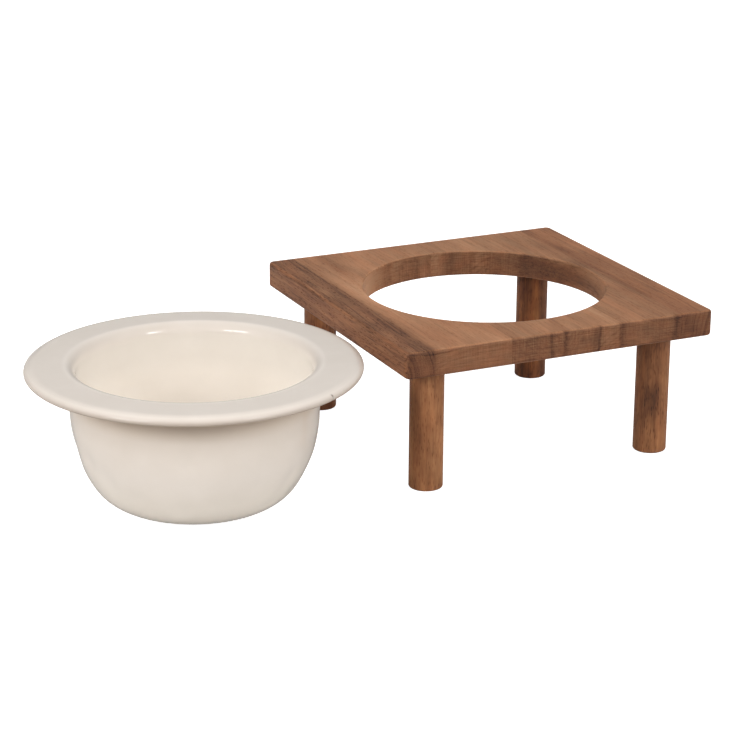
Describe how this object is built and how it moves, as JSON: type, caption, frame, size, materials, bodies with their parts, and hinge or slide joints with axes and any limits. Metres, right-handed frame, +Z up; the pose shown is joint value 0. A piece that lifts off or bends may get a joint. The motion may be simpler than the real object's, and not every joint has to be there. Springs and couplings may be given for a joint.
{
  "type": "chip and dip server",
  "caption": "Square edge-glued wooden stand on round legs with a round seat hole, and a wide-rimmed glazed bowl that lifts off the table and drops into the hole.",
  "frame": {"origin": "on the table, under the middle of the box round the whole set at rest (stand, and bowl beside it)", "axes": "+X across the staves, from the bowl's side of the set to the stand's; +Y along the staves, to the back; +Z up from the table"},
  "size_m": [0.5047, 0.2946, 0.116],
  "materials": {
    "board_wood": "oiled, matt",
    "leg_wood": "oiled, matt",
    "pin_wood": "bare",
    "bowl_glaze": "gloss cream glaze"
  },
  "bodies": {
    "stand": {"left_stave": "board_wood", "left_inner_stave": "board_wood", "front_left_middle_stave": "board_wood", "back_left_middle_stave": "board_wood", "front_right_middle_stave": "board_wood", "back_right_middle_stave": "board_wood", "right_inner_stave": "board_wood", "right_stave": "board_wood", "front_left_leg": "leg_wood", "front_right_leg": "leg_wood", "back_left_leg": "leg_wood", "back_right_leg": "leg_wood", "front_left_pin": "pin_wood", "front_right_pin": "pin_wood", "back_left_pin": "pin_wood", "back_right_pin": "pin_wood"},
    "bowl": {"bowl": "bowl_glaze"}
  },
  "joints": [
    {"name": "bowl_lift", "type": "slide", "parent": "stand", "child": "bowl", "axis": [0, 0, 1], "range_m": [0, 0.15]}
  ]
}
